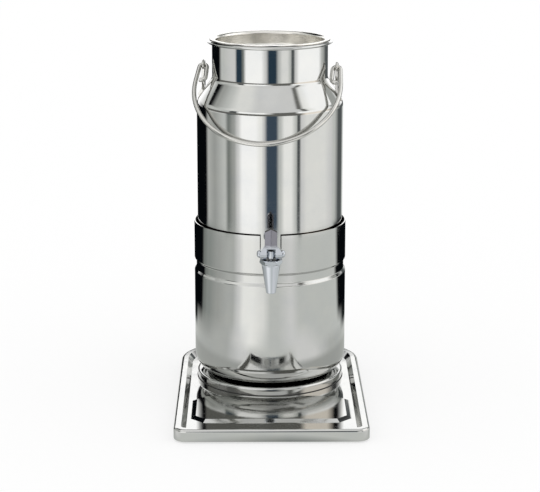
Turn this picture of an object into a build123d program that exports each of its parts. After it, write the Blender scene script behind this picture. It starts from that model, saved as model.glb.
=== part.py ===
from build123d import *

# A small milk can that stands in a sleeve on a tray and is tapped at the front.
# The origin is the centre of the tray's outline on the table, +Z is up and the
# tap faces -Y. All sizes are millimetres, and heights are above the table.

import os
from math import asin, atan2, cos, degrees, hypot, pi, radians, sin, sqrt

os.makedirs("parts", exist_ok=True)

# ---------------------------------------------------------------- driving sizes
# Tray, pressed from one sheet
tray_width = 210.0
tray_length = 320.0
tray_height = 15.0
tray_front_corner = 14.0
tray_rear_corner = 60.0
tray_edge_round = 3.0
tray_skirt_gap = 1.5
tray_rim = 8.0
tray_slope = 5.0
tray_floor = 8.6
tray_sheet = 1.2
tray_hem_round = 1.0

# Raised stand for the glass, pressed into the tray's floor
glass_stand_width = 176.0
glass_stand_length = 89.0
glass_stand_corner = 14.0
glass_stand_height = 2.6
glass_stand_slope = 5.5
glass_stand_gap = 1.5

# Rubber feet under the tray
foot_radius = 9.0
foot_inset = 34.0
foot_round = 1.5

# Sleeve that holds the can, and the low drum it stands on
can_axis_y = 56.5
drum_radius = 84.5
drum_height = 9.0
drum_sheet = 1.2
drum_round = 2.5
sleeve_radius = 87.1
sleeve_height = 177.9
sleeve_sheet = 1.2
sleeve_corner = 22.0
bead_below_seat = 4.0
bead_height = 15.0
bead_depth = 2.2
bead_side = 3.0
bead_round = 2.0
slot_width = 24.0

# Ring welded inside the sleeve, on which the can stands
seat_rise = 131.0
seat_width = 16.0
seat_thickness = 2.0

# Bolts that hold the sleeve and the drum to the tray
bolt_count = 3
bolt_circle = 48.0
bolt_radius = 2.5
bolt_head_radius = 4.6
bolt_head_height = 3.0
bolt_head_round = 1.6
bolt_clearance = 0.25
washer_radius = 7.0
washer_thickness = 1.0
spacer_radius = 5.0
nut_flats = 8.0
nut_height = 4.0
bolt_end_play = 0.8

# Can
can_radius = 83.1
can_sheet = 1.0
can_corner = 8.0
can_wall_height = 184.0
shoulder_height = 27.0
shoulder_round = 12.0
neck_radius = 65.4
neck_round = 9.0
neck_height = 43.5
neck_seam_rise = 4.0
lip_reach = 3.25
lip_rise = 2.1

# Ears and bail
ear_turn = -8.0
ear_reach = 76.0
ear_above_neck = 13.0
ear_eye_radius = 4.35
ear_wire = 1.5
ear_strap_thickness = 3.0
ear_strap_width = 8.0
ear_foot_length = 9.0
ear_bend = 8.0
bail_wire = 2.5
bail_arc_past_ears = 6.5
bail_arc_drop = 31.1
bail_eye_radius = 4.4
bail_eye_length = 18.5
bail_tip_angle = 112.0
bail_lean = 40.9

# Lid
lid_depth = 16.5
lid_sheet = 1.0
lid_gap = 2.0
lid_corner = 4.0
lid_flange_past_crest = 0.8
lid_flange_bend = 2.0
lid_rest_gap = 0.3
seal_height = 5.0
seal_above_corner = 0.5
seal_round = 0.7
seal_clearance = 0.1
grip_length = 60.0
grip_width = 12.0
grip_height = 8.5
grip_thickness = 1.6
grip_foot = 9.0
grip_bend = 3.0
grip_leg_run = 5.0

# Tap
tap_reach = 124.0
tap_rise = 23.0
shank_radius = 6.0
shank_bore = 3.0
shank_arm_radius = 6.5
shank_inside = 15.0
shank_clearance = 0.2
flange_radius = 11.0
flange_thickness = 3.0
gasket_thickness = 2.5
inner_gasket_thickness = 2.0
shank_washer_thickness = 1.2
shank_nut_flats = 19.0
shank_nut_thickness = 5.0
seat_hole_depth = 3.0
outlet_taper = 2.0
collar_corner_radius = 12.5
collar_height = 5.0
collar_chamfer = 1.6
collar_waist = 2.0
cone_height = 30.6
cone_top_radius = 10.25
cone_tip_radius = 5.3
collar_above_shank = 7.0
chamber_radius = 7.0
chamber_depth = 12.0
seat_hole_radius = 4.5
outlet_radius = 3.6

# Valve inside the tap
plug_thickness = 3.8
thread_clearance = 0.05
stem_radius = 2.5
stem_clearance = 0.05
oring_section = 0.75
valve_disc_radius = 5.5
valve_disc_thickness = 2.0
valve_washer_radius = 6.0
valve_washer_thickness = 1.6
valve_screw_radius = 1.2
valve_screw_head = 2.6
valve_screw_head_height = 1.2
valve_lift = 3.0
spring_wire = 0.45
spring_turns = 2.0
spring_bottom_radius = 5.3
spring_stem_gap = 0.35
spring_clearance = 0.1

# Lever with its cam feet
lever_travel = 80.0
pivot_above_collar = 6.0
cam_clearance = 0.05
cheek_inner = 5.0
cheek_outer = 12.0
pin_radius = 2.0
pin_clearance = 0.05
pin_head_radius = 4.2
pin_head_length = 3.5
pin_head_round = 3.0
stem_head_radius = 4.4
stem_head_above = 3.6
stem_head_below = 4.6
stem_head_round = 1.0
lever_height = 28.2
lever_width = 13.5
lever_thickness = 6.0
lever_ridge = 1.4
lever_gable = 3.6
bridge_clearance = 0.5
cheek_shoulder = 3.0
lever_shoulder_rise = 3.0
cam_steps = 6

# ---------------------------------------------------------------- derived levels
foot_height = tray_floor - tray_sheet
drum_top = tray_floor + drum_height
sleeve_top = drum_top + sleeve_height
seat_level = drum_top + seat_rise
bead_bottom = seat_level - bead_below_seat - bead_height / 2
bead_top = bead_bottom + bead_height
shoulder_level = seat_level + can_wall_height
neck_level = shoulder_level + shoulder_height
neck_seam = neck_level + neck_seam_rise
lip_top = neck_level + neck_height
lip_level = lip_top - lip_rise
mouth_radius = neck_radius - can_sheet
lip_centre_radius = mouth_radius + lip_reach
sleeve_bore = sleeve_radius - sleeve_sheet

tap_level = seat_level + tap_rise
tap_axis_y = can_axis_y - tap_reach
collar_top = tap_level + collar_above_shank
collar_bottom = collar_top - collar_height
spout_top = collar_bottom - collar_waist
spout_tip = spout_top - cone_height
valve_seat = collar_top - chamber_depth
pivot_level = collar_top + pivot_above_collar
plug_bottom = collar_top - plug_thickness

can_centre = (0, can_axis_y)
can_axis = Axis((0, can_axis_y, 0), (0, 0, 1))
tap_axis = Axis((0, tap_axis_y, 0), (0, 0, 1))
can_section = Plane(origin=(0, can_axis_y, 0), x_dir=(1, 0, 0), z_dir=(0, -1, 0))
tap_section = Plane(origin=(0, tap_axis_y, 0), x_dir=(1, 0, 0), z_dir=(0, -1, 0))


# ---------------------------------------------------------------- the tray
def tray_outline(inset):
    """The tray's outline, drawn `inset` inside its outer edge."""
    with BuildSketch(mode=Mode.PRIVATE) as outline:
        Rectangle(tray_width - 2 * inset, tray_length - 2 * inset)
        fillet(outline.vertices().group_by(Axis.Y)[0], tray_front_corner - inset)
        fillet(outline.vertices().group_by(Axis.Y)[-1], tray_rear_corner - inset)
    return outline.sketch


def bolt_faces(radius, level):
    """Circles of one radius at the base bolts' places, on a plane at `level`."""
    with BuildSketch(Plane.XY.offset(level), mode=Mode.PRIVATE) as circles:
        with Locations(can_centre):
            with PolarLocations(bolt_circle, bolt_count, start_angle=90):
                Circle(radius)
    return circles.sketch


def slope_angle(run, rise):
    """The draft angle of a wall that leans `run` over `rise`."""
    return degrees(atan2(run, rise))


bolt_hole = bolt_radius + bolt_clearance
tray_well = tray_height - tray_floor
glass_stand_rear = can_axis_y - drum_radius - glass_stand_gap

with BuildPart() as tray_form:
    with BuildSketch(Plane.XY.offset(tray_skirt_gap)):
        add(tray_outline(0))
    extrude(amount=tray_height - tray_skirt_gap)
    fillet(tray_form.faces().sort_by(Axis.Z)[-1].edges(), tray_edge_round)
    fillet(tray_form.faces().sort_by(Axis.Z)[0].edges(), tray_hem_round)
    with BuildSketch(Plane.XY.offset(tray_height)):
        add(tray_outline(tray_rim))
    extrude(amount=-tray_well, taper=slope_angle(tray_slope, tray_well), mode=Mode.SUBTRACT)
    with BuildSketch(Plane.XY.offset(tray_floor)) as glass_stand:
        with Locations((0, glass_stand_rear)):
            Rectangle(glass_stand_width, glass_stand_length, align=(Align.CENTER, Align.MAX))
        chamfer(glass_stand.vertices(), glass_stand_corner)
    extrude(amount=glass_stand_height, taper=slope_angle(glass_stand_slope, glass_stand_height))

# The space under the tray is the same form one sheet lower, kept inside the skirt.
with BuildPart() as tray_hollow:
    with BuildSketch(Plane.XY):
        add(tray_outline(tray_sheet))
    extrude(amount=tray_height)
    add(tray_form.part.moved(Location((0, 0, -tray_sheet))), mode=Mode.INTERSECT)

with BuildPart() as tray:
    add(tray_form.part)
    add(tray_hollow.part, mode=Mode.SUBTRACT)
    extrude(bolt_faces(bolt_hole, tray_floor), amount=-tray_sheet, mode=Mode.SUBTRACT)
tray.part.label = "tray"
export_step(tray.part, "parts/tray.step")

with BuildPart() as rubber_feet:
    with BuildSketch():
        with GridLocations(tray_width - 2 * foot_inset, tray_length - 2 * foot_inset, 2, 2):
            Circle(foot_radius)
    extrude(amount=foot_height)
    fillet(rubber_feet.edges().group_by(Axis.Z)[0], foot_round)
rubber_feet.part.label = "rubber_feet"
export_step(rubber_feet.part, "parts/rubber_feet.step")


# ---------------------------------------------------------------- drum and sleeve
with BuildPart() as foot_drum:
    with BuildSketch(can_section):
        with BuildLine():
            FilletPolyline((0, drum_top), (drum_radius, drum_top), (drum_radius, tray_floor), radius=drum_round)
            offset(amount=drum_sheet, side=Side.RIGHT)
        make_face()
    revolve(axis=can_axis)
    extrude(bolt_faces(bolt_hole, drum_top), amount=-drum_sheet, mode=Mode.SUBTRACT)
foot_drum.part.label = "foot_drum"
export_step(foot_drum.part, "parts/foot_drum.step")

with BuildPart() as stand_sleeve:
    with BuildSketch(can_section):
        with BuildLine():
            FilletPolyline(
                (0, drum_top),
                (sleeve_radius, drum_top),
                (sleeve_radius, bead_bottom),
                (sleeve_radius - bead_depth, bead_bottom + bead_side),
                (sleeve_radius - bead_depth, bead_top - bead_side),
                (sleeve_radius, bead_top),
                (sleeve_radius, sleeve_top),
                radius=[sleeve_corner, bead_round, bead_round, bead_round, bead_round],
            )
            offset(amount=sleeve_sheet, side=Side.LEFT)
        make_face()
    revolve(axis=can_axis)
    with BuildSketch(can_section):
        with Locations((0, tap_level)):
            Circle(slot_width / 2)
            Rectangle(slot_width, sleeve_height, align=(Align.CENTER, Align.MIN))
    extrude(amount=sleeve_radius, mode=Mode.SUBTRACT)
    extrude(bolt_faces(bolt_hole, drum_top), amount=sleeve_sheet, mode=Mode.SUBTRACT)
stand_sleeve.part.label = "stand_sleeve"
export_step(stand_sleeve.part, "parts/stand_sleeve.step")

# The seat ring's rim meets the inner face of the rolled bead.
seat_radius = sleeve_bore - bead_depth

with BuildPart() as can_seat_ring:
    with BuildSketch(Plane.XY.offset(seat_level)):
        with Locations(can_centre):
            Circle(seat_radius)
            Circle(seat_radius - seat_width, mode=Mode.SUBTRACT)
    extrude(amount=-seat_thickness)
can_seat_ring.part.label = "can_seat_ring"
export_step(can_seat_ring.part, "parts/can_seat_ring.step")


# ---------------------------------------------------------------- base fasteners
washer_level = drum_top + sleeve_sheet
head_level = washer_level + washer_thickness
nut_level = foot_height - nut_height

with BuildPart() as base_washers:
    extrude(bolt_faces(washer_radius, washer_level), amount=washer_thickness)
    extrude(bolt_faces(bolt_hole, washer_level), amount=washer_thickness, mode=Mode.SUBTRACT)
base_washers.part.label = "base_washers"
export_step(base_washers.part, "parts/base_washers.step")

with BuildPart() as base_spacers:
    extrude(bolt_faces(spacer_radius, tray_floor), amount=drum_height - drum_sheet)
    extrude(bolt_faces(bolt_hole, tray_floor), amount=drum_height, mode=Mode.SUBTRACT)
base_spacers.part.label = "base_spacers"
export_step(base_spacers.part, "parts/base_spacers.step")

with BuildPart() as base_bolts:
    extrude(bolt_faces(bolt_head_radius, head_level), amount=bolt_head_height)
    fillet(base_bolts.edges().group_by(Axis.Z)[-1], bolt_head_round)
    extrude(bolt_faces(bolt_radius, head_level), amount=nut_level - bolt_end_play - head_level)
base_bolts.part.label = "base_bolts"
export_step(base_bolts.part, "parts/base_bolts.step")

with BuildPart() as base_nuts:
    with BuildSketch(Plane.XY.offset(nut_level)):
        with Locations(can_centre):
            with PolarLocations(bolt_circle, bolt_count, start_angle=90):
                RegularPolygon(nut_flats / 2, 6, major_radius=False)
                Circle(bolt_radius + thread_clearance, mode=Mode.SUBTRACT)
    extrude(amount=nut_height)
base_nuts.part.label = "base_nuts"
export_step(base_nuts.part, "parts/base_nuts.step")

# ---------------------------------------------------------------- the can
# Body, shoulder, neck and rolled lip are one outline, welded round the neck's foot.
with BuildPart() as can_form:
    with BuildSketch(can_section):
        with BuildLine():
            FilletPolyline(
                (0, seat_level),
                (can_radius, seat_level),
                (can_radius, shoulder_level),
                (neck_radius, neck_level),
                (neck_radius, lip_level),
                radius=[can_corner, shoulder_round, neck_round],
            )
            offset(amount=can_sheet, side=Side.LEFT)
        make_face()
        with Locations((lip_centre_radius, lip_level)):
            Ellipse(lip_reach, lip_rise)
    revolve(axis=can_axis)

with BuildPart() as can_body:
    add(can_form.part)
    split(bisect_by=Plane.XY.offset(neck_seam), keep=Keep.BOTTOM)
    with BuildSketch(can_section):
        with Locations((0, tap_level)):
            Circle(shank_radius + shank_clearance)
    extrude(amount=can_radius, mode=Mode.SUBTRACT)
can_body.part.label = "can_body"
export_step(can_body.part, "parts/can_body.step")

with BuildPart() as can_neck:
    add(can_form.part)
    split(bisect_by=Plane.XY.offset(neck_seam), keep=Keep.TOP)
can_neck.part.label = "can_neck"
export_step(can_neck.part, "parts/can_neck.step")

# ---------------------------------------------------------------- ears and bail
turn = radians(ear_turn)
bail_pivot_level = neck_level + ear_above_neck
shoulder_run = can_radius - neck_radius
shoulder_side = hypot(shoulder_run, shoulder_height)
slope_out = shoulder_run / shoulder_side
slope_down = shoulder_height / shoulder_side


def ear_section(side):
    """The upright plane through the can's axis and the ear on `side` (1 or -1)."""
    return Plane(
        origin=(0, can_axis_y, 0),
        x_dir=(side * cos(turn), side * sin(turn), 0),
        z_dir=(side * sin(turn), -side * cos(turn), 0),
    )


def make_ear(side):
    """A strap welded along the shoulder that rises into a ring for the bail."""
    section = ear_section(side)
    stand_off = ear_strap_thickness / 2
    slope_start = neck_radius + slope_down * stand_off
    along = (ear_reach - slope_start) / slope_out
    bend_level = neck_level + slope_out * stand_off - slope_down * along
    bend = (ear_reach, bend_level)
    foot = (ear_reach + slope_out * ear_foot_length, bend_level - slope_down * ear_foot_length)
    ring_foot = (ear_reach, bail_pivot_level - ear_eye_radius)
    ring_top = (ear_reach, bail_pivot_level + ear_eye_radius)
    ring_centre = section.from_local_coords((ear_reach, bail_pivot_level, 0))
    with BuildPart() as ear:
        with BuildSketch(section):
            with BuildLine():
                FilletPolyline(foot, bend, ring_foot, radius=ear_bend)
            trace(line_width=ear_strap_thickness)
        extrude(amount=ear_strap_width / 2, both=True)
        with BuildSketch(section):
            with Locations(ring_top):
                Circle(ear_wire)
        revolve(axis=Axis(ring_centre, section.x_dir))
    return ear.part


ear_left = make_ear(-1)
ear_left.label = "ear_left"
export_step(ear_left, "parts/ear_left.step")

ear_right = make_ear(1)
ear_right.label = "ear_right"
export_step(ear_right, "parts/ear_right.step")

# The bail lies in one plane: a round arc, two short straights and a closed eye
# at each end. The straights touch the arc and the eye's round end on their
# outer sides, at an angle that the two radii and their centres fix.
lean = radians(bail_lean)
bail_section = Plane(
    origin=(0, can_axis_y, bail_pivot_level),
    x_dir=(cos(turn), sin(turn), 0),
    z_dir=(sin(lean) * sin(turn), -sin(lean) * cos(turn), cos(lean)),
)
bail_arc_radius = ear_reach + bail_arc_past_ears
eye_drop = bail_arc_drop - bail_eye_radius
centre_gap = hypot(ear_reach, eye_drop)
tangent_turn = asin((bail_arc_radius - bail_eye_radius) / centre_gap)
half_turn = 180.0
side_angle = degrees(atan2(eye_drop, ear_reach) + tangent_turn) - half_turn / 2

with BuildPart() as bail:
    with BuildLine(bail_section) as wire:
        eye_inner = ear_reach - bail_eye_radius
        right_tip = CenterArc(
            (ear_reach, -bail_eye_length), bail_eye_radius, half_turn + bail_tip_angle, -bail_tip_angle
        )
        right_inner = Line((eye_inner, -bail_eye_length), (eye_inner, -bail_eye_radius))
        right_top = CenterArc((ear_reach, -bail_eye_radius), bail_eye_radius, half_turn, side_angle - half_turn)
        arc = CenterArc((0, -bail_arc_drop), bail_arc_radius, side_angle, -(half_turn + 2 * side_angle))
        left_top = CenterArc(
            (-ear_reach, -bail_eye_radius), bail_eye_radius, half_turn - side_angle, side_angle - half_turn
        )
        Line(right_top @ 1, arc @ 0)
        Line(arc @ 1, left_top @ 0)
        left_inner = Line((-eye_inner, -bail_eye_radius), (-eye_inner, -bail_eye_length))
        CenterArc((-ear_reach, -bail_eye_length), bail_eye_radius, 0, -bail_tip_angle)
    wire_start = wire.wire()
    with BuildSketch(Plane(wire_start @ 0, z_dir=wire_start % 0)):
        Circle(bail_wire)
    sweep(path=wire_start)
bail.part.label = "bail"
export_step(bail.part, "parts/bail.step")

# ---------------------------------------------------------------- the lid
lid_bottom = lip_top - lid_depth
lid_floor = lid_bottom + lid_sheet
lid_radius = mouth_radius - lid_gap
flange_level = lip_top + lid_rest_gap
lid_flange_radius = lip_centre_radius + lid_flange_past_crest

with BuildPart() as lid:
    with BuildSketch(can_section):
        with BuildLine():
            FilletPolyline(
                (0, lid_bottom),
                (lid_radius, lid_bottom),
                (lid_radius, flange_level),
                (lid_flange_radius, flange_level),
                radius=[lid_corner, lid_flange_bend],
            )
            offset(amount=lid_sheet, side=Side.LEFT)
        make_face()
    revolve(axis=can_axis)
lid.part.label = "lid"
export_step(lid.part, "parts/lid.step")

with BuildPart() as lid_seal:
    seal_base = lid_bottom + lid_corner + seal_above_corner
    with BuildSketch(can_section) as seal_profile:
        with Locations((lid_radius, seal_base)):
            Rectangle(lid_gap - seal_clearance, seal_height, align=(Align.MIN, Align.MIN))
        fillet(seal_profile.vertices().group_by(Axis.X)[-1], seal_round)
    revolve(axis=can_axis)
lid_seal.part.label = "lid_seal"
export_step(lid_seal.part, "parts/lid_seal.step")

with BuildPart() as lid_grip:
    foot_centre = lid_floor + grip_thickness / 2
    top_centre = lid_floor + grip_height - grip_thickness / 2
    leg_foot = grip_length / 2 - grip_foot
    with BuildSketch(can_section):
        with BuildLine():
            FilletPolyline(
                (-grip_length / 2, foot_centre),
                (-leg_foot, foot_centre),
                (grip_leg_run - leg_foot, top_centre),
                (leg_foot - grip_leg_run, top_centre),
                (leg_foot, foot_centre),
                (grip_length / 2, foot_centre),
                radius=grip_bend,
            )
        trace(line_width=grip_thickness)
    extrude(amount=grip_width / 2, both=True)
lid_grip.part.label = "lid_grip"
export_step(lid_grip.part, "parts/lid_grip.step")


# ---------------------------------------------------------------- the tap
def across_shank(distance):
    """The plane that faces forward at `distance` from the can's axis, on the shank."""
    return Plane(
        origin=(0, can_axis_y - distance, tap_level), x_dir=(1, 0, 0), z_dir=(0, -1, 0)
    )


flats_to_corners = cos(pi / 6)
collar_flat = collar_corner_radius * flats_to_corners
flange_back = can_radius + gasket_thickness
flange_sag = can_radius - sqrt(can_radius**2 - flange_radius**2)
shank_start = can_radius - can_sheet - shank_inside

with BuildPart() as tap_body:
    with BuildSketch(Plane((0, tap_axis_y, collar_bottom))):
        RegularPolygon(collar_corner_radius, 6)
    extrude(amount=collar_height)
    with BuildSketch(tap_section):
        Polygon(
            (0, collar_bottom),
            (collar_flat, collar_bottom),
            (collar_corner_radius, collar_bottom + collar_chamfer),
            (collar_corner_radius, collar_top - collar_chamfer),
            (collar_flat, collar_top),
            (0, collar_top),
            align=None,
        )
    revolve(axis=tap_axis, mode=Mode.INTERSECT)
    with BuildSketch(tap_section):
        Polygon(
            (0, spout_tip),
            (cone_tip_radius, spout_tip),
            (cone_top_radius, spout_top),
            (collar_flat, collar_bottom),
            (0, collar_bottom),
            align=None,
        )
    revolve(axis=tap_axis)
    with BuildSketch(across_shank(shank_start)):
        Circle(shank_radius)
    extrude(amount=tap_reach - shank_start)
    with BuildSketch(across_shank(flange_back)):
        Circle(shank_arm_radius)
    extrude(amount=tap_reach - flange_back)
    with BuildSketch(across_shank(flange_back)):
        Circle(flange_radius)
    extrude(amount=flange_thickness)
    with BuildSketch(tap_section):
        Polygon(
            (0, spout_tip),
            (outlet_radius, spout_tip),
            (outlet_radius, valve_seat - seat_hole_depth - outlet_taper),
            (seat_hole_radius, valve_seat - seat_hole_depth),
            (seat_hole_radius, valve_seat),
            (chamber_radius, valve_seat),
            (chamber_radius, collar_top),
            (0, collar_top),
            align=None,
        )
    revolve(axis=tap_axis, mode=Mode.SUBTRACT)
    with BuildSketch(across_shank(shank_start)):
        Circle(shank_bore)
    extrude(amount=tap_reach - shank_start, mode=Mode.SUBTRACT)
tap_body.part.label = "tap_body"
export_step(tap_body.part, "parts/tap_body.step")

with BuildPart() as outer_gasket:
    with BuildSketch(across_shank(flange_back)):
        Circle(flange_radius)
        Circle(shank_radius + shank_clearance, mode=Mode.SUBTRACT)
    extrude(amount=-(gasket_thickness + flange_sag))
    with Locations((0, can_axis_y, tap_level)):
        Cylinder(can_radius, can_wall_height, mode=Mode.SUBTRACT)
outer_gasket.part.label = "outer_gasket"
export_step(outer_gasket.part, "parts/outer_gasket.step")

inner_wall = can_radius - can_sheet
inner_stack = inner_wall - inner_gasket_thickness

with BuildPart() as inner_gasket:
    with BuildSketch(across_shank(inner_stack)):
        Circle(flange_radius)
        Circle(shank_radius + shank_clearance, mode=Mode.SUBTRACT)
    extrude(amount=inner_gasket_thickness)
    with Locations((0, can_axis_y, tap_level)):
        Cylinder(inner_wall, can_wall_height, mode=Mode.INTERSECT)
inner_gasket.part.label = "inner_gasket"
export_step(inner_gasket.part, "parts/inner_gasket.step")

with BuildPart() as shank_washer:
    with BuildSketch(across_shank(inner_stack)):
        Circle(flange_radius)
        Circle(shank_radius + shank_clearance, mode=Mode.SUBTRACT)
    extrude(amount=-shank_washer_thickness)
shank_washer.part.label = "shank_washer"
export_step(shank_washer.part, "parts/shank_washer.step")

with BuildPart() as shank_nut:
    with BuildSketch(across_shank(inner_stack - shank_washer_thickness)):
        RegularPolygon(shank_nut_flats / 2, 6, major_radius=False)
        Circle(shank_radius + thread_clearance, mode=Mode.SUBTRACT)
    extrude(amount=-shank_nut_thickness)
shank_nut.part.label = "shank_nut"
export_step(shank_nut.part, "parts/shank_nut.step")

# ---------------------------------------------------------------- valve
stem_bore = stem_radius + stem_clearance
groove_radius = stem_radius + 2 * oring_section
groove_level = (plug_bottom + collar_top) / 2
washer_top = valve_seat + valve_washer_thickness
disc_top = washer_top + valve_disc_thickness
head_top = pivot_level + stem_head_above
head_bottom = pivot_level - stem_head_below
screw_hole = valve_screw_radius + thread_clearance

with BuildPart() as gland_plug:
    with BuildSketch(tap_section):
        with Locations(((stem_bore + chamber_radius - thread_clearance) / 2, groove_level)):
            Rectangle(chamber_radius - thread_clearance - stem_bore, plug_thickness)
        with Locations((stem_bore, groove_level)):
            Rectangle(2 * (groove_radius - stem_bore), 2 * oring_section, mode=Mode.SUBTRACT)
    revolve(axis=tap_axis)
gland_plug.part.label = "gland_plug"
export_step(gland_plug.part, "parts/gland_plug.step")

with BuildPart() as stem_oring:
    with BuildSketch(tap_section):
        with Locations((stem_radius + oring_section, groove_level)):
            Circle(oring_section - stem_clearance)
    revolve(axis=tap_axis)
stem_oring.part.label = "stem_oring"
export_step(stem_oring.part, "parts/stem_oring.step")

with BuildPart() as valve_stem:
    with BuildSketch(tap_section):
        Polygon(
            (screw_hole, washer_top),
            (valve_disc_radius, washer_top),
            (valve_disc_radius, disc_top),
            (stem_radius, disc_top),
            (stem_radius, head_bottom),
            (stem_head_radius, head_bottom),
            (stem_head_radius, head_top),
            (0, head_top),
            (0, disc_top + valve_disc_thickness),
            (screw_hole, disc_top + valve_disc_thickness),
            align=None,
        )
    revolve(axis=tap_axis)
    fillet(valve_stem.edges().group_by(Axis.Z)[-1], stem_head_round)
    with BuildSketch(Plane.YZ.offset(-stem_head_radius)):
        with Locations((tap_axis_y, pivot_level)):
            Circle(pin_radius + pin_clearance)
    extrude(amount=2 * stem_head_radius, mode=Mode.SUBTRACT)
valve_stem.part.label = "valve_stem"
export_step(valve_stem.part, "parts/valve_stem.step")

with BuildPart() as valve_washer:
    with BuildSketch(Plane((0, tap_axis_y, valve_seat))):
        Circle(valve_washer_radius)
        Circle(screw_hole, mode=Mode.SUBTRACT)
    extrude(amount=valve_washer_thickness)
valve_washer.part.label = "valve_washer"
export_step(valve_washer.part, "parts/valve_washer.step")

with BuildPart() as valve_screw:
    with BuildSketch(Plane((0, tap_axis_y, valve_seat))):
        Circle(valve_screw_head)
    extrude(amount=-valve_screw_head_height)
    with BuildSketch(Plane((0, tap_axis_y, valve_seat))):
        Circle(valve_screw_radius)
    extrude(amount=valve_washer_thickness + 2 * valve_disc_thickness - thread_clearance)
valve_screw.part.label = "valve_screw"
export_step(valve_screw.part, "parts/valve_screw.step")

spring_height = plug_bottom - disc_top - 2 * (spring_wire + spring_clearance)
spring_top_radius = stem_radius + spring_wire + spring_stem_gap
spring_cone = degrees(atan2(spring_bottom_radius - spring_top_radius, spring_height))
with BuildPart() as valve_spring:
    with BuildLine(Plane((0, tap_axis_y, disc_top + spring_wire + spring_clearance))) as coil:
        Helix(spring_height / spring_turns, spring_height, spring_bottom_radius, cone_angle=-spring_cone)
    with BuildSketch(Plane(coil.line @ 0, z_dir=coil.line % 0)):
        Circle(spring_wire)
    sweep(path=coil.line, is_frenet=True)
valve_spring.part.label = "valve_spring"
export_step(valve_spring.part, "parts/valve_spring.step")

# ---------------------------------------------------------------- the lever
# The feet are cams. Their front outline is an involute, so each degree that the
# lever is pulled forward lifts the pin and the stem by the same small amount.
cam_gain = valve_lift / radians(lever_travel)
cam_base = pivot_above_collar - cam_clearance


def cam_point(angle):
    """A point of the involute whose tangent lies `angle` forward of straight down."""
    reach = cam_base + cam_gain * angle
    return (
        -reach * sin(angle) - cam_gain * cos(angle),
        -reach * cos(angle) + cam_gain * sin(angle),
    )


bridge_bottom = hypot(stem_head_radius, stem_head_above) + bridge_clearance
bridge_top = bridge_bottom + lever_shoulder_rise
slot_foot = -pivot_above_collar - collar_height
blade_side = lever_width / 2
blade_back = lever_thickness / 2
cam_outline = [cam_point(radians(lever_travel) * step / cam_steps) for step in range(cam_steps + 1)]
cheek_section = Plane(
    origin=(-cheek_outer, tap_axis_y, pivot_level), x_dir=(0, 1, 0), z_dir=(1, 0, 0)
)
lever_front = Plane(origin=(0, tap_axis_y, pivot_level), x_dir=(1, 0, 0), z_dir=(0, -1, 0))

with BuildPart() as tap_lever:
    with BuildSketch(cheek_section):
        with BuildLine():
            nose = Spline(*cam_outline)
            Line(nose @ 0, (0, -cam_base))
            heel = CenterArc((0, 0), cam_base, -90, 90)
            Polyline(heel @ 1, (blade_back, bridge_top), (-blade_back, bridge_top), nose @ 1)
        make_face()
        Circle(pin_radius + pin_clearance, mode=Mode.SUBTRACT)
    extrude(amount=2 * cheek_outer)
    with BuildSketch(Plane((0, tap_axis_y, pivot_level + bridge_bottom))):
        Polygon(
            (-blade_side, blade_back),
            (-blade_side, -blade_back),
            (0, -blade_back - lever_ridge),
            (blade_side, -blade_back),
            (blade_side, blade_back),
            align=None,
        )
    extrude(amount=lever_height - bridge_bottom)
    with BuildSketch(lever_front):
        Polygon(
            (-cheek_outer, slot_foot),
            (-cheek_outer, cheek_shoulder),
            (-blade_side, bridge_top),
            (-blade_side, lever_height - lever_gable),
            (0, lever_height),
            (blade_side, lever_height - lever_gable),
            (blade_side, bridge_top),
            (cheek_outer, cheek_shoulder),
            (cheek_outer, slot_foot),
            (cheek_inner, slot_foot),
            (cheek_inner, bridge_bottom),
            (-cheek_inner, bridge_bottom),
            (-cheek_inner, slot_foot),
            align=None,
        )
    extrude(amount=collar_corner_radius, both=True, mode=Mode.INTERSECT)
tap_lever.part.label = "tap_lever"
export_step(tap_lever.part, "parts/tap_lever.step")

with BuildPart() as lever_pin:
    with BuildSketch(Plane.YZ.offset(cheek_outer)):
        with Locations((tap_axis_y, pivot_level)):
            Circle(pin_head_radius)
    extrude(amount=pin_head_length)
    fillet(lever_pin.edges().group_by(Axis.X)[-1], pin_head_round)
    mirror(about=Plane.YZ)
    with BuildSketch(Plane.YZ):
        with Locations((tap_axis_y, pivot_level)):
            Circle(pin_radius)
    extrude(amount=cheek_outer, both=True)
lever_pin.part.label = "lever_pin"
export_step(lever_pin.part, "parts/lever_pin.step")
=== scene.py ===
"""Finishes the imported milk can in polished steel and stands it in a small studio.

Laid out as an add-on and run as a script. Every length is in metres, in the frame's own
coordinates: +Z is up, the tap faces -Y and the origin is the middle of the tray's outline.
"""

import math

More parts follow.
